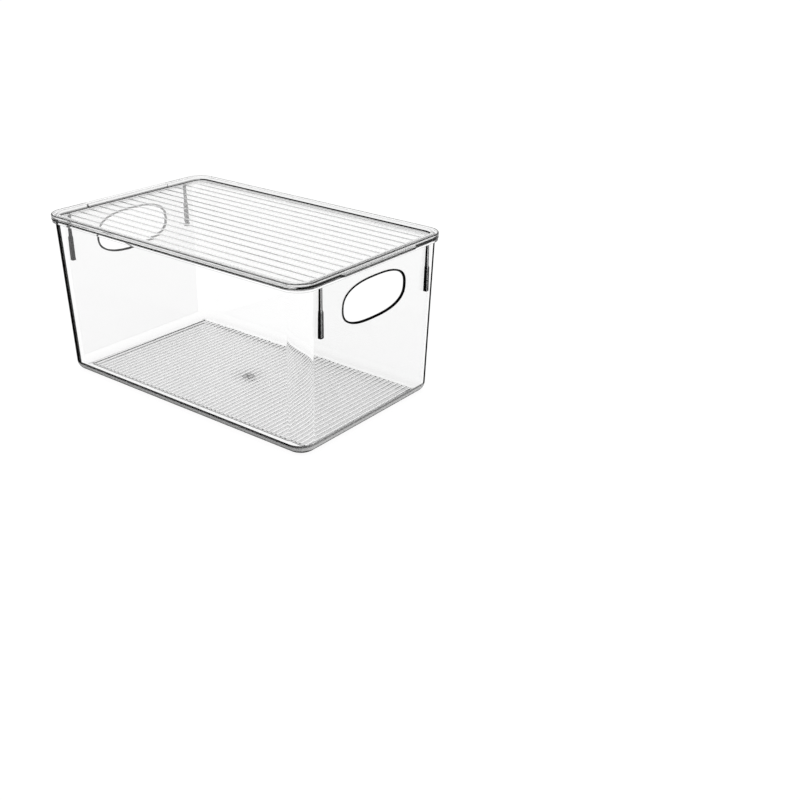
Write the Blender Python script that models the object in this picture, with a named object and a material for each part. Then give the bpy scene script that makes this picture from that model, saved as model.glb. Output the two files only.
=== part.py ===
"""Clear fridge storage bin with a lift-off lid.

Metres, +Z up. The origin is the middle of the base, on the surface the bin stands on.
X runs along the length, through the two end walls with the hand holes.
The bin is one thin-walled moulding, and the lid is another that drops on its rim.
"""
import math

import bmesh
import bpy

MM = 0.001

# Overall size of the lid's rim, and so of the closed bin
LENGTH = 280 * MM
WIDTH = 176 * MM
HEIGHT = 138 * MM

# Bin body
WALL = 2.0 * MM
DRAFT = 0.025                     # outward lean of each wall, as a slope
RIM_TOP = 133.5 * MM
RIM_THICKNESS = 2.0 * MM
RIM_OVERHANG = 2.8 * MM           # how far the lid stands out past the wall
RIM_INSET = 0.4 * MM              # how far the bin's rim stays inside the lid's edge
BASE_RADIUS = 8.0 * MM

# Lid
LID_GAP = 0.3 * MM
LID_CORNER_RADIUS = 16.5 * MM
LID_EDGE_RADIUS = 0.8 * MM
PANEL_THICKNESS = 1.7 * MM
PANEL_DEPTH = 3.4 * MM            # how far the panel lies below the rim's top
RIM_LAND = 6.0 * MM               # width of the lid's raised rim
RIM_SLOPE = 0.4 * MM              # run of the slope from the rim down to the panel
SKIRT_OUTER = 5.4 * MM            # locating skirt inside the bin's mouth, from the lid's edge
SKIRT_INNER = 6.8 * MM
SKIRT_DEPTH = 2.2 * MM
TAB_HALF_LENGTH = 45 * MM
TAB_REACH = 2.5 * MM
TAB_ROOT = 2.0 * MM
TAB_HEIGHT = 2.4 * MM

# Ribs
FLOOR_RIB_COUNT = 53
FLOOR_RIB_PITCH = 4.7 * MM
FLOOR_FIELD_HALF_X = 124 * MM
FLOOR_FIELD_HALF_Y = 68 * MM
FLOOR_FIELD_RISE = 0.3 * MM
FLOOR_RIB_BASE = 2.6 * MM
FLOOR_RIB_CREST = 1.2 * MM
FLOOR_RIB_RISE = 0.45 * MM
LID_RIB_COUNT = 14
LID_RIB_PITCH = 10.6 * MM
LID_RIB_HALF_LENGTH = 131 * MM
LID_RIB_BASE = 2.8 * MM
LID_RIB_CREST = 1.4 * MM
LID_RIB_RISE = 0.5 * MM

# Hand holes
HOLE_HALF_WIDTH = 37 * MM
HOLE_HALF_HEIGHT = 16 * MM
HOLE_CENTRE_Z = 106.5 * MM
HOLE_SQUARENESS = 2.6             # 2 is an ellipse, more is fuller

# Nesting stops on the end walls
STOP_CENTRE_Y = 64.5 * MM
STOP_WIDTH = 3.2 * MM
STOP_BOTTOM_Z = 93 * MM

# Moulding gate under the middle of the floor
GATE_RADIUS = 5.0 * MM
GATE_DEPTH = 0.6 * MM
GATE_NUB_RADIUS = 1.4 * MM

SEGMENTS_CORNER = 7
SEGMENTS_BASE = 4
OVERLAP = 0.4 * MM                # how far joined shapes reach into each other

# Worked out from the sizes above
LID_BOTTOM = RIM_TOP + LID_GAP
WALL_TOP_HALF_X = LENGTH / 2 - RIM_OVERHANG
WALL_TOP_HALF_Y = WIDTH / 2 - RIM_OVERHANG
WALL_BASE_HALF_X = WALL_TOP_HALF_X - DRAFT * RIM_TOP
WALL_BASE_HALF_Y = WALL_TOP_HALF_Y - DRAFT * RIM_TOP
WALL_CORNER_RADIUS = LID_CORNER_RADIUS - RIM_OVERHANG
PANEL_TOP = HEIGHT - PANEL_DEPTH


def clear_scene():
    """Remove whatever the scene holds."""
    for old in list(bpy.data.objects):
        bpy.data.objects.remove(old, do_unlink=True)


def make_collection(name):
    """A new collection under the scene's own."""
    collection = bpy.data.collections.new(name)
    bpy.context.scene.collection.children.link(collection)
    return collection


def clear_plastic(name, colour):
    """Transparent moulded plastic with a polished surface."""
    material = bpy.data.materials.new(name)
    material.use_nodes = True
    shader = material.node_tree.nodes["Principled BSDF"]
    shader.inputs["Base Color"].default_value = colour
    shader.inputs["Roughness"].default_value = 0.04
    shader.inputs["Metallic"].default_value = 0.0
    shader.inputs["IOR"].default_value = 1.57
    shader.inputs["Transmission Weight"].default_value = 0.95
    return material


def add_object(name, mesh_data, collection):
    """Turn a bmesh into a named object."""
    bmesh.ops.recalc_face_normals(mesh_data, faces=mesh_data.faces)
    mesh = bpy.data.meshes.new(name)
    mesh_data.to_mesh(mesh)
    mesh_data.free()
    obj = bpy.data.objects.new(name, mesh)
    collection.objects.link(obj)
    return obj


def add_helper(name, mesh_data, collection):
    """A shape that is only used to cut or join another."""
    obj = add_object(name, mesh_data, collection)
    obj.hide_render = True
    obj.display_type = "WIRE"
    return obj


def combine(target, helper, operation):
    """Add a Boolean modifier to the target."""
    modifier = target.modifiers.new(helper.name, "BOOLEAN")
    modifier.operation = operation
    modifier.solver = "EXACT"
    modifier.object = helper


def join_shape(target, helper):
    """Make the helper part of the target's solid."""
    combine(target, helper, "UNION")


def cut_shape(target, helper):
    """Take the helper out of the target's solid."""
    combine(target, helper, "DIFFERENCE")


def round_edges(mesh_data, picks, radius, segments):
    """Round the edges that picks() chooses."""
    edges = [edge for edge in mesh_data.edges if picks(edge)]
    bmesh.ops.bevel(mesh_data, geom=edges, offset=radius, offset_type="OFFSET",
                    segments=segments, profile=0.5, affect="EDGES")


def block(half_x, half_y, low, high, lean=0.0, corner=0.0, segments=SEGMENTS_CORNER):
    """A block around the Z axis, from low to high, with leaning walls and rounded uprights.

    half_x and half_y hold at the block's low face.
    """
    mesh_data = bmesh.new()
    bmesh.ops.create_cube(mesh_data, size=2.0)
    for vert in mesh_data.verts:
        upper = vert.co.z > 0
        spread = lean * (high - low) if upper else 0.0
        vert.co.x *= half_x + spread
        vert.co.y *= half_y + spread
        vert.co.z = high if upper else low
    if corner > 0:
        round_edges(mesh_data, lambda e: abs(e.verts[0].co.z - e.verts[1].co.z) > 1e-6,
                    corner, segments)
    return mesh_data


def round_level(mesh_data, level, radius, segments):
    """Round the edges that lie all at one height."""
    round_edges(mesh_data, lambda e: all(abs(v.co.z - level) < 1e-6 for v in e.verts),
                radius, segments)


def ridges(count, pitch, half_length, base, crest, low, rise, along):
    """Parallel ridges with sloping sides, centred on the origin, as one mesh."""
    mesh_data = bmesh.new()
    for index in range(count):
        made = bmesh.ops.create_cube(mesh_data, size=2.0)["verts"]
        middle = (index - (count - 1) / 2) * pitch
        for vert in made:
            upper = vert.co.z > 0
            half = (crest if upper else base) / 2
            across = middle + math.copysign(half, vert.co.x)
            length = math.copysign(half_length - (rise if upper else 0.0), vert.co.y)
            vert.co.z = low + rise if upper else low - OVERLAP
            if along == "Y":
                vert.co.x, vert.co.y = across, length
            else:
                vert.co.x, vert.co.y = length, -across
    return mesh_data


def wall_half_x(height):
    """Outer half length of the bin's wall at a height."""
    return WALL_BASE_HALF_X + DRAFT * height


def hand_hole_shape():
    """A long oval bar through both end walls."""
    mesh_data = bmesh.new()
    bmesh.ops.create_circle(mesh_data, cap_ends=True, segments=40, radius=1.0)
    power = 2 / HOLE_SQUARENESS
    for vert in mesh_data.verts:
        angle = math.atan2(vert.co.y, vert.co.x)
        across = math.copysign(abs(math.cos(angle)) ** power, math.cos(angle))
        upward = math.copysign(abs(math.sin(angle)) ** power, math.sin(angle))
        vert.co.x = -LENGTH
        vert.co.y = HOLE_HALF_WIDTH * across
        vert.co.z = HOLE_CENTRE_Z + HOLE_HALF_HEIGHT * upward
    grown = bmesh.ops.extrude_face_region(mesh_data, geom=list(mesh_data.faces))["geom"]
    for item in grown:
        if isinstance(item, bmesh.types.BMVert):
            item.co.x = LENGTH
    return mesh_data


def nesting_stop(side_x, side_y):
    """An upright fin under the rim, with an upright outer face and a blunt foot."""
    mesh_data = bmesh.new()
    bmesh.ops.create_cube(mesh_data, size=2.0)
    top = RIM_TOP - RIM_THICKNESS / 2
    outer = LENGTH / 2 - RIM_INSET - 0.3 * MM
    for vert in mesh_data.verts:
        upper = vert.co.z > 0
        height = top if upper else STOP_BOTTOM_Z
        inner = wall_half_x(height) - WALL / 2
        vert.co.x = side_x * (outer if vert.co.x > 0 else inner)
        vert.co.y = side_y * STOP_CENTRE_Y + vert.co.y * STOP_WIDTH / 2
        vert.co.z = height
    return mesh_data


def disc(radius, low, high, segments=24):
    """A flat round plug on the Z axis."""
    mesh_data = bmesh.new()
    bmesh.ops.create_cone(mesh_data, cap_ends=True, segments=segments, radius1=radius,
                          radius2=radius, depth=high - low)
    bmesh.ops.translate(mesh_data, verts=mesh_data.verts, vec=(0, 0, (low + high) / 2))
    return mesh_data


def build_bin(parts, helpers):
    """The bin: leaning walls, rim, hand holes, nesting stops and ribbed floor."""
    shell = block(WALL_BASE_HALF_X, WALL_BASE_HALF_Y, 0.0, RIM_TOP - RIM_THICKNESS / 2,
                  DRAFT, WALL_CORNER_RADIUS)
    round_level(shell, 0.0, BASE_RADIUS, SEGMENTS_BASE)
    body = add_object("bin_body", shell, parts)

    rim = block(LENGTH / 2 - RIM_INSET, WIDTH / 2 - RIM_INSET, RIM_TOP - RIM_THICKNESS, RIM_TOP,
                corner=LID_CORNER_RADIUS - RIM_INSET)
    join_shape(body, add_helper("rim_plate", rim, helpers))

    for side_x in (-1, 1):
        for side_y in (-1, 1):
            name = "nesting_stop_{}{}".format("ab"[side_x > 0], "ab"[side_y > 0])
            join_shape(body, add_helper(name, nesting_stop(side_x, side_y), helpers))

    inside_top = RIM_TOP + 5 * MM
    hollow = block(WALL_BASE_HALF_X - WALL + DRAFT * WALL, WALL_BASE_HALF_Y - WALL + DRAFT * WALL,
                   WALL, inside_top, DRAFT, WALL_CORNER_RADIUS - WALL)
    round_level(hollow, WALL, BASE_RADIUS - WALL, SEGMENTS_BASE)
    cut_shape(body, add_helper("inside", hollow, helpers))
    cut_shape(body, add_helper("hand_holes", hand_hole_shape(), helpers))

    field = block(FLOOR_FIELD_HALF_X, FLOOR_FIELD_HALF_Y, WALL - OVERLAP, WALL + FLOOR_FIELD_RISE,
                  corner=5 * MM, segments=3)
    join_shape(body, add_helper("floor_field", field, helpers))
    ribs = ridges(FLOOR_RIB_COUNT, FLOOR_RIB_PITCH, FLOOR_FIELD_HALF_Y - 1.0 * MM, FLOOR_RIB_BASE,
                  FLOOR_RIB_CREST, WALL + FLOOR_FIELD_RISE, FLOOR_RIB_RISE, "Y")
    join_shape(body, add_helper("floor_ribs", ribs, helpers))

    gate = disc(GATE_RADIUS, -1 * MM, GATE_DEPTH)
    cut_shape(body, add_helper("gate_recess", gate, helpers))
    nub = disc(GATE_NUB_RADIUS, GATE_DEPTH / 3, WALL / 2, 12)
    join_shape(body, add_helper("gate_nub", nub, helpers))

    body.data.materials.append(clear_plastic("bin_clear", (0.97, 0.98, 0.99, 1.0)))
    return body


def inset_block(inset, low, high, extra=0.0):
    """A rounded block that follows the lid's edge at a distance inside it."""
    return block(LENGTH / 2 - inset, WIDTH / 2 - inset, low, high, extra,
                 LID_CORNER_RADIUS - inset)


def lift_tab(side_x):
    """A lip along the middle of one short side, to lift the lid by."""
    mesh_data = bmesh.new()
    bmesh.ops.create_cube(mesh_data, size=2.0)
    inner = LENGTH / 2 - TAB_ROOT
    outer = LENGTH / 2 + TAB_REACH
    for vert in mesh_data.verts:
        vert.co.x = side_x * (outer if vert.co.x > 0 else inner)
        vert.co.y *= TAB_HALF_LENGTH
        vert.co.z = LID_BOTTOM + (TAB_HEIGHT if vert.co.z > 0 else 0.2 * MM)
    round_edges(mesh_data, lambda e: all(abs(abs(v.co.x) - outer) < 1e-6 for v in e.verts)
                and abs(e.verts[0].co.z - e.verts[1].co.z) > 1e-6, 3.5 * MM, 4)
    return mesh_data


def build_lid(parts, helpers):
    """The lid: raised rim, sunk ribbed panel, locating skirt and two lift tabs."""
    slab = inset_block(0.0, LID_BOTTOM, HEIGHT)
    round_level(slab, HEIGHT, LID_EDGE_RADIUS, 2)
    lid = add_object("lid", slab, parts)

    skirt = inset_block(SKIRT_OUTER, LID_BOTTOM - SKIRT_DEPTH, LID_BOTTOM + OVERLAP)
    join_shape(lid, add_helper("skirt", skirt, helpers))
    for side_x in (-1, 1):
        name = "lift_tab_{}".format("ab"[side_x > 0])
        join_shape(lid, add_helper(name, lift_tab(side_x), helpers))

    lean = RIM_SLOPE / PANEL_DEPTH
    sunk = inset_block(RIM_LAND + RIM_SLOPE, PANEL_TOP, HEIGHT + 1 * MM, lean)
    cut_shape(lid, add_helper("sunk_top", sunk, helpers))
    pocket = inset_block(SKIRT_INNER, LID_BOTTOM - SKIRT_DEPTH - 1 * MM, PANEL_TOP - PANEL_THICKNESS)
    cut_shape(lid, add_helper("pocket", pocket, helpers))

    ribs = ridges(LID_RIB_COUNT, LID_RIB_PITCH, LID_RIB_HALF_LENGTH, LID_RIB_BASE, LID_RIB_CREST,
                  PANEL_TOP, LID_RIB_RISE, "X")
    join_shape(lid, add_helper("lid_ribs", ribs, helpers))

    lid.data.materials.append(clear_plastic("lid_clear", (0.97, 0.98, 0.99, 1.0)))
    return lid


def main():
    clear_scene()
    parts = make_collection("fridge_bin")
    helpers = make_collection("helpers")
    build_bin(parts, helpers)
    build_lid(parts, helpers)


main()
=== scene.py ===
"""Looks for the fridge bin: two clear mouldings, a white floor and a soft white studio.

Lengths are in millimetres until the meshes are made. X is the length, Y the width, Z up.
The camera stands off the corner between +X and -Y, so the -X end is the far one.
"""

import math

import bmesh
import bpy
from mathutils import Matrix, Vector


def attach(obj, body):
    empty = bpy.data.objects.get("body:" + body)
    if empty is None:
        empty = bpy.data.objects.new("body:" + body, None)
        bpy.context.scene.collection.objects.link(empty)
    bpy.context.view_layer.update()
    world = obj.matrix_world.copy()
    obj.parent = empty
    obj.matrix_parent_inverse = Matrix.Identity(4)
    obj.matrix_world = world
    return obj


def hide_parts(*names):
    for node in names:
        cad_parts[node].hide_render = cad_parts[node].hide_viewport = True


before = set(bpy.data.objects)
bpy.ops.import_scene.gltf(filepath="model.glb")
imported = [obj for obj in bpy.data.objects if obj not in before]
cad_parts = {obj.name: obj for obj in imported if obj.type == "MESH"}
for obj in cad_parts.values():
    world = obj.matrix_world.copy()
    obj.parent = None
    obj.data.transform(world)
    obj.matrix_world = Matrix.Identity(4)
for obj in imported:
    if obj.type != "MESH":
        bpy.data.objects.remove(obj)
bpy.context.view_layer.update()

MM = 0.001

# Overall sizes, which repeat the CAD part's
LENGTH = 280.0
WIDTH = 176.0
HEIGHT = 138.0
RIM_TOP = 133.5
LID_BOTTOM = 133.8
DRAFT = 0.025                # outward lean of each wall, as a slope
WALL = 2.0
OVERHANG = 2.8               # how far the lid stands out past the wall
LID_RADIUS = 16.5
WALL_RADIUS = LID_RADIUS - OVERHANG
BASE_RADIUS = 8.0
BASE_X = LENGTH / 2 - OVERHANG - DRAFT * RIM_TOP
BASE_Y = WIDTH / 2 - OVERHANG - DRAFT * RIM_TOP

# Bin rim, a flange turned outwards
FLANGE_INSET = 0.4           # how far it stays inside the lid's edge
FLANGE_X = LENGTH / 2 - FLANGE_INSET
FLANGE_Y = WIDTH / 2 - FLANGE_INSET
FLANGE_RADIUS = LID_RADIUS - FLANGE_INSET
FLANGE_THICKNESS = 2.0
FLANGE_BOTTOM = RIM_TOP - FLANGE_THICKNESS
FLANGE_ROUND = 0.4
NECK_ROUND = 0.7             # hollow between the wall and the rim
LIP_ROUND = 0.5              # inner edge of the rim

# Floor
FLOOR_FIELD_X = 124.0
FLOOR_FIELD_Y = 68.0
FLOOR_FIELD_RADIUS = 5.0
FLOOR_FIELD_RISE = 0.3
FLOOR_FIELD_TOP = WALL + FLOOR_FIELD_RISE
FLOOR_STEP = ((0.0, 0.0), (-0.15, 0.04), (-0.45, FLOOR_FIELD_RISE - 0.04), (-0.6, FLOOR_FIELD_RISE))
FLOOR_RIBS = 53
FLOOR_PITCH = 4.7
FLOOR_RIB_MARGIN = 1.2       # from a rib's end to the edge of the field
FLOOR_RIB = {"base": 2.8, "crest": 0.7, "rise": 0.45, "taper": 0.5}

# Recess that the moulding gate leaves under the floor: (radius, height above the underside)
GATE_PROFILE = ((5.2, 0.0), (5.0, 0.2), (4.8, 0.6), (1.5, 0.6), (1.3, 0.25))

# Hand holes
HOLE_A = 37.0                # half the opening's length
HOLE_B = 16.0                # half its height
HOLE_Z = 106.5
HOLE_POWER = 2.6             # 2 is an ellipse, more is fuller
HOLE_ROUND = 0.7
HOLE_COLLAR = 0.8            # flush ring round the hole that takes part in its dark outline of painted shade

# Nesting stops
STOP_Y = 64.5
STOP_WIDTH = 3.2
STOP_INSET = 0.3             # how far its outer face stays inside the rim's edge
STOP_BOTTOM = 93.0
STOP_STEP = 113.0            # height where it begins to get thinner
STOP_STEP_HEIGHT = 1.5
STOP_THINNER = 0.9
STOP_SET_BACK = 0.5          # of the thinner part's outer face
STOP_ROUND = 0.25

# Lid
RIM_LAND = 6.0               # width of the raised rim
RIM_SLOPE = 0.4              # run of the slope from the rim down to the panel
PANEL_TOP = 134.6
PANEL_UNDER = 132.9
PANEL_ROUND = 0.6            # where the slope meets the panel
LAND_ROUND = 0.5             # where the slope meets the rim's top
LID_TOP_ROUND = 0.8
LID_BOTTOM_ROUND = 0.3
SKIRT_OUTER = 5.4            # the skirt's two faces, from the lid's edge inwards
SKIRT_INNER = 6.8
SKIRT_BOTTOM = 131.6
SKIRT_ROUND = 0.3
LID_RIBS = 14
LID_PITCH = 10.6
LID_RIB_X = 131.0
LID_RIB = {"base": 2.8, "crest": 0.8, "rise": 0.5, "taper": 0.6}
TAB_Y = 45.0
TAB_REACH = 2.5
TAB_ROOT = 0.9               # how far a lift tab reaches into the lid
TAB_LOW = LID_BOTTOM + 0.2
TAB_HIGH = LID_BOTTOM + 2.4
TAB_END = 3.5                # length of its rounded end
TAB_ROUND = 0.5

CORNER_STEPS = 16
PLUS_X_SEGMENT = 4 * (CORNER_STEPS + 1) - 1      # the ring's straight segment along the +X side
MINUS_X_SEGMENT = 2 * (CORNER_STEPS + 1) - 1     # and along the -X side
SHARP_ANGLE = 35             # edges sharper than this, in degrees, stay sharp

# Where dark lines of painted shade go on the plastic's edges, in millimetres
UPRIGHT_SPAN = (BASE_RADIUS + 0.5, FLANGE_BOTTOM - 0.8)   # heights of the upright corners
INNER_LINE_TURN = 17.0       # degrees off a flat wall in which the far inner corners look dark
FLANGE_LINE_INSET = 0.38     # how far the lines on the bin's rim reach in from its edge
FLANGE_CLEAR = (0.45, 1.55)  # depths below the rim's top between which it stays clear
PANEL_LINES = 7.2            # the panel and its ribs take part in the lines from this far in
LINE_HEIGHT = 1.1            # of the line along the foot of the lid's edge
LID_TOP_LINE = 1.1           # width of the line along the lid's top edge
RECESS_LINE = (135.1, 136.3)
FOOT_LINE = (6.5, 8.3)       # of the line round the foot of the bin's inside

# These two multiply the Fresnel value, so they may pass 1. The far upright corners get more painted shade
# than the near ones.
UPRIGHT_DARK = {"far": 1.15, "near": 0.8}
SKIRT_DARK = 0.5

# How dark the other painted shade is: 0 is clear and 1 is black. The lid's foot line is painted lighter
# at the +X end, and its recess line is painted differently at the far end.
STOP_FACE_DARK = {"upper": 0.6, "lower": 0.8}
FLANGE_DARK = 0.3
FLOOR_STEP_DARK = 0.6
FLOOR_RIB_DARK = 0.3
GATE_INNER_DARK = {"steep": 0.9, "flat": 0.3}
END_WALL_DARK = 0.065
BASE_LINE_TOP = 3.5          # below this the end walls are as dark as the long ones
BASE_BANDS = ((BASE_LINE_TOP, 0.9), (6.7, 0.7), (8.0, 0.92))   # (up to height, how dark)
END_WALL_SHARE = 0.75        # of the base's lines on the end walls, beside the long walls
LID_FOOT_DARK = {"plus_x": 0.7, "rest": 1.0}
LID_TOP_DARK = 0.8
RECESS_DARK = {"far": 0.6, "rest": 1.0}
RECESS_FOOT_DARK = {"far": 1.0, "rest": 0.4}
RECESS_TOP_DARK = 0.08
LID_RIB_DARK = 0.11
PANEL_DARK = 0.035
TAB_DARK = {"edge": 0.6, "side": 0.75}

# Clear plastic
IOR = 1.57
TINT = (0.995, 0.995, 0.995, 1.0)
REFLECTION_TINT = (0.15, 0.15, 0.15, 1.0)
# Black that is mixed into the plastic to paint the shade of its dark lines
PAINTED_SHADE_BLACK = (0.004, 0.004, 0.004, 1.0)
RIPPLE_SCALE = 60.0          # per metre
RIPPLE_STRENGTH = 0.03
RIPPLE_HEIGHT = 0.001        # metres
SLANT_STEP = (0.11, 0.13)    # weighted Fresnel values between which painted shade comes in on a face seen from the air
INNER_SLANT_STEP = (0.07, 0.085)                 # Fresnel values for one seen from the plastic
GATE_SHADE_RADII = (0.004, 0.020) # metres, between which the painted shade round the gate fades
GATE_SHADE_GAIN = 1.6             # how much darker the floor's painted dark lines are at the gate
ABSORPTION_TINT = (0.5, 0.5, 0.5, 1.0)
ABSORPTION_DENSITY = 10.0

# Studio, in metres and degrees, with the lens and sensor in millimetres
FLOOR_RADIUS = 30.0
FLOOR_DROP = 0.0002          # keeps the floor clear of the bin's underside
FLOOR_COLOUR = (0.15, 0.15, 0.15, 1.0)
FLOOR_ROUGHNESS = 0.9
FLOOR_GLOW = 0.915
ROOM = ((0.0, 1.05), (0.45, 1.05), (0.62, 0.9), (0.75, 0.8), (1.0, 0.8))  # (Z of direction, brightness)
CAMERA_PLACE = (0.6037, -0.6043, 0.3878)
CAMERA_AZIMUTH = 36.18
CAMERA_ELEVATION = 25.70
CAMERA_ROLL = 1.30
CAMERA_LENS = 48.46
CAMERA_SENSOR = 36.0
LIGHT_BOUNCES = 32
GLOSSY_BOUNCES = 16


# ---------------------------------------------------------------- mesh making

def ring(bm, half_x, half_y, radius, z):
    """Vertices of a rounded rectangle, counter-clockwise from the +X side's +Y end."""
    verts = []
    corners = ((1, 1, 0), (-1, 1, 90), (-1, -1, 180), (1, -1, 270))
    for sx, sy, start in corners:
        for i in range(CORNER_STEPS + 1):
            a = math.radians(start + 90 * i / CORNER_STEPS)
            x = sx * (half_x - radius) + radius * math.cos(a)
            y = sy * (half_y - radius) + radius * math.sin(a)
            verts.append(bm.verts.new((x, y, z)))
    return verts


def circle(bm, radius, z, count=32):
    """Vertices of a circle round the Z axis."""
    angles = [2 * math.pi * i / count for i in range(count)]
    return [bm.verts.new((radius * math.cos(a), radius * math.sin(a), z)) for a in angles]


def loop_edges(bm, verts):
    """The closed loop of edges through the vertices, made where missing."""
    edges = []
    for i, v in enumerate(verts):
        w = verts[(i + 1) % len(verts)]
        edges.append(bm.edges.get((v, w)) or bm.edges.new((v, w)))
    return edges


def bridge(bm, a, b, skip=()):
    """Quads between two closed loops of the same count."""
    n = len(a)
    for i in range(n):
        if i in skip:
            continue
        j = (i + 1) % n
        bm.faces.new((a[i], a[j], b[j], b[i]))


def bridge_all(bm, loops):
    """Quads between each loop and the next."""
    for a, b in zip(loops, loops[1:]):
        bridge(bm, a, b)


def fill(bm, loops):
    """Flat triangles inside the first loop and outside the others."""
    edges = []
    for loop in loops:
        edges.extend(loop_edges(bm, loop))
    bmesh.ops.triangle_fill(bm, use_beauty=True, use_dissolve=False, edges=edges)


def arc(centre_e, centre_z, radius, start, end, steps):
    """Points (inset, z) on an arc. Angle 0 points outwards and 90 points up."""
    points = []
    for i in range(steps + 1):
        a = math.radians(start + (end - start) * i / steps)
        points.append((centre_e - radius * math.cos(a), centre_z + radius * math.sin(a)))
    return points


def quarter_turn(steps=4):
    """(sine, 1 - cosine) at even steps over a quarter turn."""
    angles = [math.radians(90 * i / steps) for i in range(steps + 1)]
    return [(math.sin(a), 1 - math.cos(a)) for a in angles]


def finish_mesh(bm, name):
    """An object from the mesh, in metres, smooth except at real edges."""
    bmesh.ops.remove_doubles(bm, verts=bm.verts, dist=0.00005)
    bmesh.ops.recalc_face_normals(bm, faces=bm.faces)
    bmesh.ops.scale(bm, vec=(MM, MM, MM), verts=bm.verts)
    mesh = bpy.data.meshes.new(name)
    bm.to_mesh(mesh)
    bm.free()
    obj = bpy.data.objects.new(name, mesh)
    bpy.context.scene.collection.objects.link(obj)
    mesh.shade_smooth()
    mesh.set_sharp_from_angle(angle=math.radians(SHARP_ANGLE))
    return obj


def apply_modifiers(obj):
    """Replace the object's mesh by what its modifiers make of it."""
    graph = bpy.context.evaluated_depsgraph_get()
    made = bpy.data.meshes.new_from_object(obj.evaluated_get(graph))
    obj.modifiers.clear()
    obj.data = made


def weight_normals(obj):
    """Let the broad flat faces keep their own normals beside small radii."""
    obj.data.shade_smooth()
    obj.data.set_sharp_from_angle(angle=math.radians(SHARP_ANGLE))
    modifier = obj.modifiers.new("normals", "WEIGHTED_NORMAL")
    modifier.mode = "FACE_AREA"
    modifier.weight = 100
    modifier.keep_sharp = True
    apply_modifiers(obj)


def join_solid(obj, bm_helper):
    """Make the helper mesh part of the object's solid."""
    helper = finish_mesh(bm_helper, "helper")
    modifier = obj.modifiers.new("join", "BOOLEAN")
    modifier.operation = "UNION"
    modifier.solver = "EXACT"
    modifier.object = helper
    apply_modifiers(obj)
    bpy.data.objects.remove(helper)


def rib_profile(base, crest, rise, steps=3):
    """Half of a soft rib's cross-section, from above its foot to near the middle: (across, up)."""
    points = []
    for i in range(1, steps * 2 + 1):
        t = i / (steps * 2 + 1)
        across = -base / 2 + (base - crest) / 2 * t
        points.append((across, rise * (0.5 - 0.5 * math.cos(math.pi * t))))
    points.append((-crest / 2, rise))
    points.append((-crest / 4, rise))
    return points


def rib(bm, middle, half_length, z, along, base, crest, rise, taper):
    """A soft rib on a flat face. Returns the loop of its foot, to be left out of that face."""
    half = [(-base / 2, 0.0)] + rib_profile(base, crest, rise)
    section = half + [(-a, u) for a, u in reversed(half)]
    ends = []
    for sign in (-1, 1):
        row = []
        for across, up in section:
            length = sign * (half_length - taper * up / rise)
            a = middle + across
            co = (a, length, z + up) if along == "Y" else (length, a, z + up)
            row.append(bm.verts.new(co))
        ends.append(row)
    low, high = ends
    for i in range(len(section) - 1):
        bm.faces.new((low[i], low[i + 1], high[i + 1], high[i]))
    bm.faces.new(low)
    bm.faces.new(high)
    return [low[0], low[-1], high[-1], high[0]]


def ribs(bm, count, pitch, half_length, z, along, shape):
    """Parallel ribs, centred on the origin. Returns the loops of their feet."""
    feet = []
    for i in range(count):
        middle = (i - (count - 1) / 2) * pitch
        feet.append(rib(bm, middle, half_length, z, along, **shape))
    return feet


def inset(x, y, half_x, half_y, radius):
    """How far a point lies inside the outline of a rounded rectangle."""
    over_x = abs(x) - (half_x - radius)
    over_y = abs(y) - (half_y - radius)
    if over_x > 0 and over_y > 0:
        return radius - math.hypot(over_x, over_y)
    return radius - max(over_x, over_y)


def mark_faces(obj, name, darkness):
    """Store darkness(centre, normal), the amount of painted shade, on each face, with the centre in
    millimetres.
    """
    values = [darkness(f.center / MM, f.normal) for f in obj.data.polygons]
    attribute = obj.data.attributes.new(name, "FLOAT", "FACE")
    attribute.data.foreach_set("value", values)


# ---------------------------------------------------------------- bin: shape

def wall_x(z):
    """Half length of the outside of the walls at height z."""
    return BASE_X + DRAFT * z


def wall_y(z):
    """Half width of the outside of the walls at height z."""
    return BASE_Y + DRAFT * z


def base_outline(bm, e, z):
    """The outline that the walls have at height 0, moved inwards by e and set at height z."""
    return ring(bm, BASE_X - e, BASE_Y - e, WALL_RADIUS - e, z)


def foot_arc(depth, radius, steps):
    """Points (inset, z) round the lower edge of a surface that lies at a depth in the plastic."""
    lean = math.atan(DRAFT)
    centre_e = depth + radius * (1 - math.sin(lean)) / math.cos(lean)
    return arc(centre_e, depth + radius, radius, -90, -math.degrees(lean), steps)


def add_outside(bm, wall_top):
    """The rounded base and the outer walls. Returns the lowest, the foot's and the top outline."""
    rings = [base_outline(bm, e, z) for e, z in foot_arc(0.0, BASE_RADIUS, 12)]
    high = ring(bm, wall_x(wall_top), wall_y(wall_top), WALL_RADIUS, wall_top)
    bridge_all(bm, rings)
    bridge(bm, rings[-1], high, (PLUS_X_SEGMENT, MINUS_X_SEGMENT))
    return rings[0], rings[-1], high


def add_flange(bm, last, wall_top):
    """The neck under the rim, the rim's edge and its top. Returns the inner wall's top outline."""
    neck_inset = FLANGE_X - wall_x(wall_top)
    lip_inset = FLANGE_X - (wall_x(RIM_TOP) - WALL) - LIP_ROUND
    turn = quarter_turn()[1:]
    path = [(neck_inset - NECK_ROUND * c, wall_top + NECK_ROUND * s) for s, c in turn]
    path += arc(FLANGE_ROUND, FLANGE_BOTTOM + FLANGE_ROUND, FLANGE_ROUND, -90, 0, 4)
    path += arc(FLANGE_ROUND, RIM_TOP - FLANGE_ROUND, FLANGE_ROUND, 0, 90, 4)
    path += [(lip_inset, RIM_TOP)]
    path += [(lip_inset + LIP_ROUND * s, RIM_TOP - LIP_ROUND * c) for s, c in turn]
    for e, z in path:
        new = ring(bm, FLANGE_X - e, FLANGE_Y - e, FLANGE_RADIUS - e, z)
        bridge(bm, last, new)
        last = new
    return last


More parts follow.
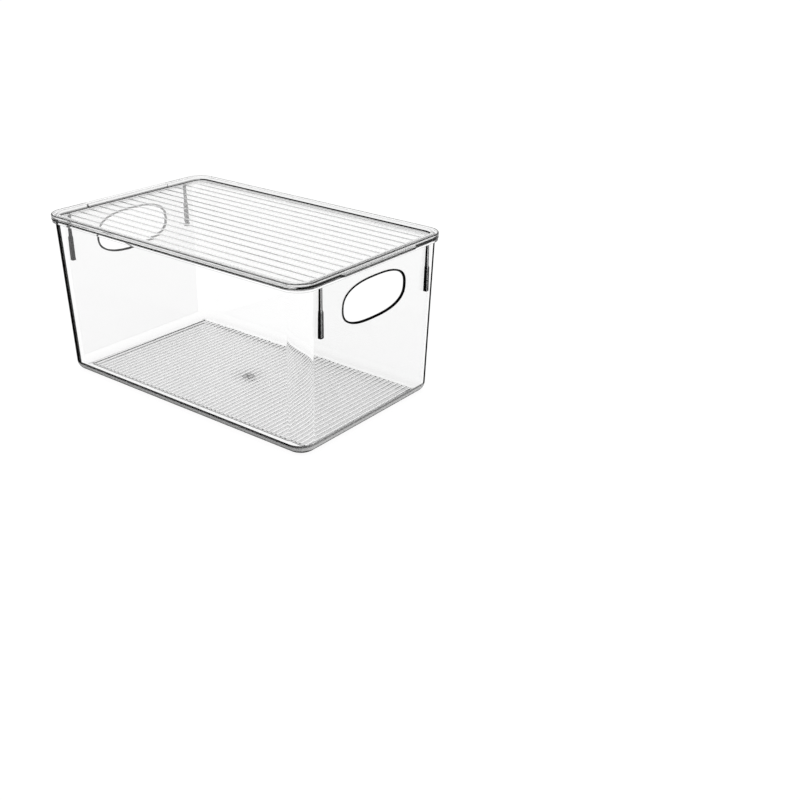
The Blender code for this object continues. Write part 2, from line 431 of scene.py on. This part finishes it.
def add_inside(bm, wall_high):
    """The inner walls down to the floor. Returns the outlines, from the top one down."""
    points = foot_arc(WALL, BASE_RADIUS - WALL, 10)
    foot_e, foot_z = points[-1]
    points.append((foot_e - DRAFT * (FOOT_LINE[1] - foot_z), FOOT_LINE[1]))
    rings = [base_outline(bm, e, z) for e, z in reversed(points)]
    bridge(bm, wall_high, rings[0], (PLUS_X_SEGMENT, MINUS_X_SEGMENT))
    bridge_all(bm, rings)
    return rings


def hole_loop(bm, side, grow, depth, steps=72):
    """A full oval on the end wall, at a depth below its outer face."""
    verts = []
    for i in range(steps):
        a = 2 * math.pi * i / steps
        c, s = math.cos(a), math.sin(a)
        y = (HOLE_A + grow) * math.copysign(abs(c) ** (2 / HOLE_POWER), c)
        z = HOLE_Z + (HOLE_B + grow) * math.copysign(abs(s) ** (2 / HOLE_POWER), s)
        verts.append(bm.verts.new((side * (wall_x(z) - depth), y, z)))
    return verts


def add_hand_hole(bm, side, segment, walls):
    """A hand hole with rounded edges, and the faces of the end wall round it.

    walls holds the low and high outline of the outer wall, and then of the inner one.
    """
    rounding = [(HOLE_ROUND * (1 - s), HOLE_ROUND * c) for s, c in quarter_turn()]
    collar = HOLE_ROUND + HOLE_COLLAR
    profile = [(collar, 0.0)] + rounding
    profile += [(grow, WALL - depth) for grow, depth in reversed(profile)]
    loops = [hole_loop(bm, side, grow, depth) for grow, depth in profile]
    bridge_all(bm, loops)
    for (low, high), hole in zip(walls, (loops[0], loops[-1])):
        after = (segment + 1) % len(low)
        fill(bm, [[low[segment], low[after], high[after], high[segment]], hole])


def add_floor(bm, floor_edge):
    """The floor's raised field with its fine ribs."""
    field = [ring(bm, FLOOR_FIELD_X + grow, FLOOR_FIELD_Y + grow, FLOOR_FIELD_RADIUS, WALL + up)
             for grow, up in FLOOR_STEP]
    fill(bm, [floor_edge, field[0]])
    bridge_all(bm, field)
    feet = ribs(bm, FLOOR_RIBS, FLOOR_PITCH, FLOOR_FIELD_Y - FLOOR_RIB_MARGIN, FLOOR_FIELD_TOP, "Y",
                FLOOR_RIB)
    fill(bm, [field[-1]] + feet)


def add_underside(bm, under):
    """The underside with the gate mark."""
    gate = [circle(bm, radius, z) for radius, z in GATE_PROFILE]
    fill(bm, [under, gate[0]])
    bridge_all(bm, gate)
    bm.faces.new(gate[-1])


def bin_mesh():
    """The bin without its nesting stops."""
    bm = bmesh.new()
    wall_top = FLANGE_BOTTOM - NECK_ROUND
    under, outer_low, outer_high = add_outside(bm, wall_top)
    inner_high = add_flange(bm, outer_high, wall_top)
    inside = add_inside(bm, inner_high)
    walls = ((outer_low, outer_high), (inside[0], inner_high))
    add_hand_hole(bm, 1, PLUS_X_SEGMENT, walls)
    add_hand_hole(bm, -1, MINUS_X_SEGMENT, walls)
    add_floor(bm, inside[-1])
    add_underside(bm, under)
    return bm


def stop_block(side_x, side_y):
    """One nesting stop: a fin with an upright outer face, thinner in its upper half."""
    bm = bmesh.new()
    outer = FLANGE_X - STOP_INSET
    top = RIM_TOP - FLANGE_THICKNESS / 2
    thin = STOP_WIDTH - STOP_THINNER
    levels = ((STOP_BOTTOM, STOP_WIDTH, 0.0), (STOP_STEP, STOP_WIDTH, 0.0),
              (STOP_STEP + STOP_STEP_HEIGHT, thin, STOP_SET_BACK), (top, thin, STOP_SET_BACK))
    rows = []
    for z, width, back in levels:
        root = wall_x(z) - WALL / 2
        section = ((root, -1), (outer - back, -1), (outer - back, 1), (root, 1))
        rows.append([bm.verts.new((side_x * x, side_y * STOP_Y + y * width / 2, z)) for x, y in section])
    bridge_all(bm, rows)
    bm.faces.new(rows[0])
    bm.faces.new(rows[-1])
    bmesh.ops.recalc_face_normals(bm, faces=bm.faces)
    outer_edges = [e for e in bm.edges
                   if all(abs(v.co.x) > wall_x(v.co.z) - WALL / 2 + 0.2 for v in e.verts)]
    bmesh.ops.bevel(bm, geom=outer_edges, offset=STOP_ROUND, offset_type="OFFSET", segments=2,
                    profile=0.5, affect="EDGES")
    return bm


# ---------------------------------------------------------------- bin: where painted shade darkens it

def on_flat_wall(normal):
    """True where a face is part of a flat wall, seen from outside or inside."""
    return abs(max(abs(normal.x), abs(normal.y)) - math.cos(math.atan(DRAFT))) < 2e-4


def in_hole(centre):
    """True on the cut edge of a hand hole and on the narrow ring round it."""
    grow = HOLE_ROUND + HOLE_COLLAR
    y, z = abs(centre.y) / (HOLE_A + grow), abs(centre.z - HOLE_Z) / (HOLE_B + grow)
    return y ** HOLE_POWER + z ** HOLE_POWER < 1.0 and abs(centre.x) > BASE_X - WALL


def on_stop(centre):
    """True on a nesting stop."""
    return (abs(abs(centre.y) - STOP_Y) < STOP_WIDTH / 2 + 0.1 and centre.z < FLANGE_BOTTOM
            and abs(centre.x) > wall_x(centre.z) + 0.02)


def in_gate(centre):
    """True on the small recess that the moulding gate leaves under the floor."""
    return centre.z < 0.7 and math.hypot(centre.x, centre.y) < GATE_PROFILE[0][0] + 0.1


def wall_depth(centre):
    """How deep a point lies below the outer face of the walls."""
    return inset(centre.x, centre.y, wall_x(centre.z), wall_y(centre.z), WALL_RADIUS)


def on_upright_corner(centre, normal):
    """True on the rounded uprights, outside and inside."""
    return (UPRIGHT_SPAN[0] < centre.z < UPRIGHT_SPAN[1]
            and not (on_flat_wall(normal) or on_stop(centre) or in_hole(centre)))


def bin_edge(centre, normal):
    """How much painted shade a face gets where it is seen at a slant from the air side: the upright
    corners, more at the far end.
    """
    if on_upright_corner(centre, normal) and wall_depth(centre) < WALL / 2:
        return UPRIGHT_DARK["far" if centre.x < 0 else "near"]
    return 0.0


def bin_inner_edge(centre, normal):
    """The same painted shade from inside the plastic: where the inner uprights begin, at the far end of
    the bin only.
    """
    begins = max(abs(normal.x), abs(normal.y)) > math.cos(math.radians(INNER_LINE_TURN))
    inner = on_upright_corner(centre, normal) and wall_depth(centre) > WALL / 2
    return 1.0 if inner and begins and centre.x < 0 else 0.0


def side_share(normal):
    """1 on the long walls, END_WALL_SHARE on the end walls, and between the two round the corners."""
    sideways = math.hypot(normal.x, normal.y)
    return 1.0 - (1.0 - END_WALL_SHARE) * (normal.x / sideways) ** 2 if sideways > 0.05 else 0.0


def base_line(centre, normal):
    """How dark the painted shade on the rounded lower edge is, in bands one above the other."""
    if normal.z > -0.02:
        return 0.0
    for top, dark in BASE_BANDS:
        if centre.z < top:
            return dark if top == BASE_LINE_TOP else dark * side_share(normal)
    return 0.0


def stop_line(centre, normal):
    """Painted shade: black on the sides and ends of a nesting stop, and a little lighter on its outer
    face.
    """
    if abs(normal.z) > 0.7 or abs(normal.y) > 0.7:
        return 1.0
    return STOP_FACE_DARK["upper" if centre.z > STOP_STEP else "lower"]


def flange_line(centre):
    """Two thin lines of painted shade, along the upper and the lower edge of the bin's rim."""
    outermost = inset(centre.x, centre.y, FLANGE_X, FLANGE_Y, FLANGE_RADIUS) < FLANGE_LINE_INSET
    on_an_edge = centre.z > RIM_TOP - FLANGE_CLEAR[0] or centre.z < RIM_TOP - FLANGE_CLEAR[1]
    return FLANGE_DARK if outermost and on_an_edge else 0.0


def floor_line(centre):
    """Painted shade: dark on the step round the floor's field, and a little on the flat between its ribs.

    The underside below the field counts as that flat. The tops of the ribs are clear.
    """
    if WALL + 0.01 < centre.z < FLOOR_FIELD_TOP - 0.01:
        return FLOOR_STEP_DARK
    return FLOOR_RIB_DARK if centre.z < FLOOR_FIELD_TOP + 0.25 else 0.0


def bin_line(centre, normal):
    """How much painted shade a face gets when it is seen from the air side."""
    if on_stop(centre):
        return stop_line(centre, normal)
    if in_hole(centre):
        return 1.0
    if centre.z > FLANGE_BOTTOM - 0.01:
        return flange_line(centre)
    if centre.z < 3.0 and abs(centre.x) < FLOOR_FIELD_X + 1 and abs(centre.y) < FLOOR_FIELD_Y + 1:
        return floor_line(centre)
    if on_flat_wall(normal) and abs(normal.x) > 0.7:
        return END_WALL_DARK
    if centre.z < BASE_RADIUS and wall_depth(centre) < BASE_RADIUS:
        return base_line(centre, normal)
    return 0.0


def bin_inner(centre, normal):
    """How much painted shade a face gets when it is seen from inside the plastic."""
    if on_stop(centre) or in_hole(centre):
        return 1.0
    if in_gate(centre):
        return GATE_INNER_DARK["steep" if abs(normal.z) < 0.98 else "flat"]
    foot = FOOT_LINE[0] < centre.z < FOOT_LINE[1] and wall_depth(centre) > WALL - 0.1
    return side_share(normal) if foot else 0.0


def build_bin():
    obj = finish_mesh(bin_mesh(), "bin_shell")
    for side_x in (-1, 1):
        for side_y in (-1, 1):
            join_solid(obj, stop_block(side_x, side_y))
    weight_normals(obj)
    # Face numbers that place the painted shade of the dark lines
    mark_faces(obj, "edge", bin_edge)
    mark_faces(obj, "line", bin_line)
    mark_faces(obj, "inner", bin_inner)
    mark_faces(obj, "inner_edge", bin_inner_edge)
    return obj


# ---------------------------------------------------------------- lid

def skirt_path():
    """Points (inset, z) from the panel's underside, round the locating skirt, to the lid's bottom."""
    low = SKIRT_BOTTOM + SKIRT_ROUND
    path = [(SKIRT_INNER + 0.6, PANEL_UNDER), (SKIRT_INNER + 0.2, PANEL_UNDER - 0.1)]
    path += [(SKIRT_INNER, PANEL_UNDER - 0.4), (SKIRT_INNER, low)]
    path += [(SKIRT_INNER - SKIRT_ROUND, SKIRT_BOTTOM), (SKIRT_OUTER + SKIRT_ROUND, SKIRT_BOTTOM)]
    path += [(SKIRT_OUTER, low), (SKIRT_OUTER, LID_BOTTOM - 0.15), (SKIRT_OUTER - 0.15, LID_BOTTOM)]
    return path


def rim_path():
    """Points (inset, z) from the lid's bottom, up its edge and over its rim, down to the panel."""
    path = arc(LID_BOTTOM_ROUND, LID_BOTTOM + LID_BOTTOM_ROUND, LID_BOTTOM_ROUND, -90, 0, 3)
    path.append((0.0, LID_BOTTOM + LINE_HEIGHT))
    path += arc(LID_TOP_ROUND, HEIGHT - LID_TOP_ROUND, LID_TOP_ROUND, 0, 90, 6)
    land_inner = RIM_LAND - LAND_ROUND
    path += [(LID_TOP_LINE, HEIGHT), (land_inner, HEIGHT)]
    path += [(land_inner + LAND_ROUND * s, HEIGHT - LAND_ROUND * c) for s, c in quarter_turn()[1:]]
    for z in reversed(RECESS_LINE):
        path.append((RIM_LAND + RIM_SLOPE * (HEIGHT - z) / (HEIGHT - PANEL_TOP), z))
    foot = RIM_LAND + RIM_SLOPE
    path += [(foot + PANEL_ROUND * c, PANEL_TOP + PANEL_ROUND * (1 - s)) for s, c in quarter_turn()]
    return path


def lid_mesh():
    """The lid without its lift tabs."""
    bm = bmesh.new()
    rings = [ring(bm, LENGTH / 2 - e, WIDTH / 2 - e, LID_RADIUS - e, z)
             for e, z in skirt_path() + rim_path()]
    bridge_all(bm, rings)
    bm.faces.new(rings[0])
    feet = ribs(bm, LID_RIBS, LID_PITCH, LID_RIB_X, PANEL_TOP, "X", LID_RIB)
    fill(bm, [rings[-1]] + feet)
    return bm


def tab_block(side):
    """A low lip along the middle of a short side, with rounded ends."""
    bm = bmesh.new()
    edge = LENGTH / 2
    steps = 6
    rounding = []
    for i in range(steps + 1):
        a = math.radians(90 * i / steps)
        rounding.append((edge + TAB_REACH * math.sin(a), TAB_Y - TAB_END * (1 - math.cos(a))))
    outline = [(edge - TAB_ROOT, -TAB_Y), (edge - TAB_ROOT, TAB_Y)]
    outline += rounding
    outline += [(x, -y) for x, y in reversed(rounding)]
    rows = [[bm.verts.new((side * x, y, z)) for x, y in outline] for z in (TAB_LOW, TAB_HIGH)]
    bridge_all(bm, rows)
    bm.faces.new(rows[0])
    bm.faces.new(rows[1])
    bmesh.ops.recalc_face_normals(bm, faces=bm.faces)
    rims = [e for e in bm.edges if abs(e.verts[0].co.z - e.verts[1].co.z) < 1e-6
            and all(abs(v.co.x) >= edge - 1e-6 for v in e.verts)]
    bmesh.ops.bevel(bm, geom=rims, offset=TAB_ROUND, offset_type="OFFSET", segments=3,
                    profile=0.5, affect="EDGES")
    return bm


# Where painted shade goes on the lid
def lid_inset(centre):
    """How far a point lies inside the lid's outline. It is negative on the lift tabs."""
    return inset(centre.x, centre.y, LENGTH / 2, WIDTH / 2, LID_RADIUS)


def lid_edge(centre, normal):
    """How much painted shade a face gets where it is seen at a slant: only the locating skirt."""
    on_skirt = SKIRT_OUTER - 0.1 < lid_inset(centre) < SKIRT_INNER + 0.1
    return SKIRT_DARK if on_skirt and centre.z < LID_BOTTOM - 0.1 else 0.0


def tab_line(centre, normal):
    """How much painted shade a lift tab gets: clear on top, dark along the upper edge and down the side.
    """
    if normal.z > 0.95:
        return 0.0
    return TAB_DARK["edge" if centre.z > TAB_HIGH - TAB_ROUND else "side"]


def recess_line(centre, normal):
    """How dark the painted shade on the slope from the rim down to the panel is. The painted line lies
    lower at the far end.
    """
    where = "far" if centre.x < 0 and normal.x > 0.7 else "rest"
    if centre.z < RECESS_LINE[0]:
        return RECESS_FOOT_DARK[where]
    return RECESS_DARK[where] if centre.z < RECESS_LINE[1] else RECESS_TOP_DARK


def lid_line(centre, normal):
    """How much painted shade a face gets when it is seen from the air side."""
    e = lid_inset(centre)
    if e < -0.02:
        return tab_line(centre, normal)
    if e < 0.05 and centre.z < LID_BOTTOM + LINE_HEIGHT:
        return LID_FOOT_DARK["plus_x" if normal.x > 0.3 else "rest"]
    if e < LID_TOP_LINE + 0.05 and centre.z > HEIGHT - 0.4:
        return LID_TOP_DARK
    if RIM_LAND - LAND_ROUND < e < RIM_LAND + 1.1 and centre.z > PANEL_TOP + 0.01:
        return recess_line(centre, normal)
    if e > PANEL_LINES and centre.z > PANEL_TOP - 0.02:
        on_rib = abs(centre.x) < LID_RIB_X + 0.5 and centre.z > PANEL_TOP + 0.02
        return LID_RIB_DARK if on_rib else PANEL_DARK
    return 0.0


def build_lid():
    obj = finish_mesh(lid_mesh(), "lid_shell")
    for side in (-1, 1):
        join_solid(obj, tab_block(side))
    weight_normals(obj)
    # Face numbers that place the painted shade of the dark lines
    mark_faces(obj, "edge", lid_edge)
    mark_faces(obj, "line", lid_line)
    return obj


# ---------------------------------------------------------------- materials

def add_node(tree, kind, inputs=None, **settings):
    """A new node. Its inputs are given as numbers and colours, or as outputs to link them to."""
    node = tree.nodes.new(kind)
    for name, value in settings.items():
        setattr(node, name, value)
    for key, value in (inputs or {}).items():
        if isinstance(value, bpy.types.NodeSocket):
            tree.links.new(value, node.inputs[key])
        else:
            node.inputs[key].default_value = value
    return node


def calculate(tree, operation, first, second):
    """The output of a Math node."""
    return add_node(tree, "ShaderNodeMath", {0: first, 1: second}, operation=operation).outputs["Value"]


def soft_step(tree, value, limits, results=(0.0, 1.0)):
    """A smooth change from the first result to the second as the value crosses the limits."""
    inputs = {"Value": value, "From Min": limits[0], "From Max": limits[1],
              "To Min": results[0], "To Max": results[1]}
    return add_node(tree, "ShaderNodeMapRange", inputs, interpolation_type="SMOOTHSTEP").outputs["Result"]


def face_value(tree, name):
    """A number that mark_faces() stored. It is 0 where none is stored."""
    return add_node(tree, "ShaderNodeAttribute", attribute_name=name).outputs["Fac"]


def painted_shade_share(tree, place, shade_round_gate):
    """How much painted shade each point gets, from the numbers on its face and from the side it is seen
    from.
    """
    fresnel = add_node(tree, "ShaderNodeFresnel", {"IOR": IOR}).outputs["Fac"]
    from_plastic = add_node(tree, "ShaderNodeNewGeometry").outputs["Backfacing"]
    from_air = calculate(tree, "SUBTRACT", 1.0, from_plastic)

    slant = calculate(tree, "MULTIPLY", fresnel, face_value(tree, "edge"))
    lines = face_value(tree, "line")
    # Painted shade: the floor's dark lines are made darker round the gate
    if shade_round_gate:
        length = add_node(tree, "ShaderNodeVectorMath", {0: place}, operation="LENGTH")
        gain = soft_step(tree, length.outputs["Value"], GATE_SHADE_RADII, (GATE_SHADE_GAIN, 1.0))
        lines = calculate(tree, "MULTIPLY", lines, gain)
    air_side = calculate(tree, "MAXIMUM", soft_step(tree, slant, SLANT_STEP), lines)

    inner_slant = soft_step(tree, fresnel, INNER_SLANT_STEP)
    band = calculate(tree, "MULTIPLY", inner_slant, face_value(tree, "inner_edge"))
    plastic_side = calculate(tree, "MAXIMUM", face_value(tree, "inner"), band)

    return calculate(tree, "MAXIMUM", calculate(tree, "MULTIPLY", air_side, from_air),
                     calculate(tree, "MULTIPLY", plastic_side, from_plastic))


def clear_plastic(name, shade_round_gate=False):
    """Clear moulded plastic: polished, faintly rippled, darker the more of it light crosses, with black
    mixed in as painted shade along its marked edges.

    With shade round the gate, the painted dark lines on the floor get darker round the origin, where the
    moulding gate leaves its mark.
    """
    material = bpy.data.materials.new(name)
    material.use_nodes = True
    tree = material.node_tree
    output = tree.nodes["Material Output"]
    shader = tree.nodes["Principled BSDF"]
    shader.inputs["Base Color"].default_value = TINT
    shader.inputs["Roughness"].default_value = 0.0
    shader.inputs["IOR"].default_value = IOR
    shader.inputs["Transmission Weight"].default_value = 1.0
    shader.inputs["Specular Tint"].default_value = REFLECTION_TINT

    place = add_node(tree, "ShaderNodeTexCoord").outputs["Object"]
    ripple = add_node(tree, "ShaderNodeTexNoise", {"Vector": place, "Scale": RIPPLE_SCALE, "Detail": 2.0})
    bump = add_node(tree, "ShaderNodeBump", {"Height": ripple.outputs["Fac"], "Strength": RIPPLE_STRENGTH,
                                             "Distance": RIPPLE_HEIGHT})
    tree.links.new(bump.outputs["Normal"], shader.inputs["Normal"])

    # A black surface mixed in by these shares paints the shade of the dark lines
    dark = add_node(tree, "ShaderNodeBsdfDiffuse", {"Color": PAINTED_SHADE_BLACK})
    solid = add_node(tree, "ShaderNodeMixShader", {"Fac": painted_shade_share(tree, place, shade_round_gate),
                                                   1: shader.outputs["BSDF"], 2: dark.outputs["BSDF"]})
    shadow = add_node(tree, "ShaderNodeLightPath").outputs["Is Shadow Ray"]
    clear = add_node(tree, "ShaderNodeBsdfTransparent")
    surface = add_node(tree, "ShaderNodeMixShader", {"Fac": shadow, 1: solid.outputs["Shader"],
                                                     2: clear.outputs["BSDF"]})
    tree.links.new(surface.outputs["Shader"], output.inputs["Surface"])

    absorb = add_node(tree, "ShaderNodeVolumeAbsorption", {"Color": ABSORPTION_TINT,
                                                           "Density": ABSORPTION_DENSITY})
    tree.links.new(absorb.outputs["Volume"], output.inputs["Volume"])
    return material


def floor_material():
    """Pale seamless paper, bright enough to come out white."""
    material = bpy.data.materials.new("studio_floor")
    material.use_nodes = True
    nodes = material.node_tree.nodes
    shader = nodes["Principled BSDF"]
    shader.inputs["Base Color"].default_value = FLOOR_COLOUR
    shader.inputs["Roughness"].default_value = FLOOR_ROUGHNESS
    shader.inputs["Specular IOR Level"].default_value = 0.0
    shader.inputs["Emission Color"].default_value = (1.0, 1.0, 1.0, 1.0)
    shader.inputs["Emission Strength"].default_value = FLOOR_GLOW
    return material


# ---------------------------------------------------------------- studio

def build_floor():
    bm = bmesh.new()
    bmesh.ops.create_circle(bm, cap_ends=True, segments=64, radius=FLOOR_RADIUS)
    mesh = bpy.data.meshes.new("studio_floor")
    bm.to_mesh(mesh)
    bm.free()
    floor = bpy.data.objects.new("studio_floor", mesh)
    floor.location.z = -FLOOR_DROP
    bpy.context.scene.collection.objects.link(floor)
    mesh.materials.append(floor_material())


def build_world():
    """A soft white room with a slightly darker ceiling."""
    world = bpy.data.worlds.new("studio")
    bpy.context.scene.world = world
    world.use_nodes = True
    tree = world.node_tree
    place = add_node(tree, "ShaderNodeTexCoord").outputs["Generated"]
    height = add_node(tree, "ShaderNodeSeparateXYZ", {"Vector": place}).outputs["Z"]
    ramp = add_node(tree, "ShaderNodeValToRGB", {"Fac": height})
    stops = ramp.color_ramp.elements
    for position, level in ROOM[1:-1]:
        stops.new(position)
    for stop, (position, level) in zip(stops, ROOM):
        stop.color = (level, level, level, 1)
    background = tree.nodes["Background"]
    background.inputs["Strength"].default_value = 1.0
    tree.links.new(ramp.outputs["Color"], background.inputs["Color"])


def build_camera():
    """A viewpoint a little above the bin, off its near right corner."""
    data = bpy.data.cameras.new("camera")
    data.sensor_width = CAMERA_SENSOR
    data.lens = CAMERA_LENS
    data.clip_start, data.clip_end = 0.05, 100.0
    camera = bpy.data.objects.new("camera", data)
    azimuth, elevation = math.radians(CAMERA_AZIMUTH), math.radians(CAMERA_ELEVATION)
    roll = math.radians(CAMERA_ROLL)
    back = Vector((math.sin(azimuth) * math.cos(elevation), -math.cos(azimuth) * math.cos(elevation),
                   math.sin(elevation)))
    right = Vector((math.cos(azimuth), math.sin(azimuth), 0.0))
    up = back.cross(right)
    right_rolled = math.cos(roll) * right + math.sin(roll) * up
    up_rolled = -math.sin(roll) * right + math.cos(roll) * up
    turn = Matrix((right_rolled, up_rolled, back)).transposed()
    camera.matrix_world = Matrix.Translation(CAMERA_PLACE) @ turn.to_4x4()
    bpy.context.scene.collection.objects.link(camera)
    bpy.context.scene.camera = camera


def main():
    scene = bpy.context.scene
    scene.view_settings.view_transform = "Standard"
    scene.cycles.max_bounces = LIGHT_BOUNCES
    scene.cycles.transmission_bounces = LIGHT_BOUNCES
    scene.cycles.glossy_bounces = GLOSSY_BOUNCES
    scene.cycles.transparent_max_bounces = LIGHT_BOUNCES

    bin_shell = build_bin()
    bin_shell.data.materials.clear()
    bin_shell.data.materials.append(clear_plastic("bin_clear_plastic", shade_round_gate=True))
    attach(bin_shell, "bin")
    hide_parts("bin_body")

    lid_shell = build_lid()
    lid_shell.data.materials.clear()
    lid_shell.data.materials.append(clear_plastic("lid_clear_plastic"))
    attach(lid_shell, "cover")
    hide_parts("lid")

    build_floor()
    build_world()
    build_camera()


main()
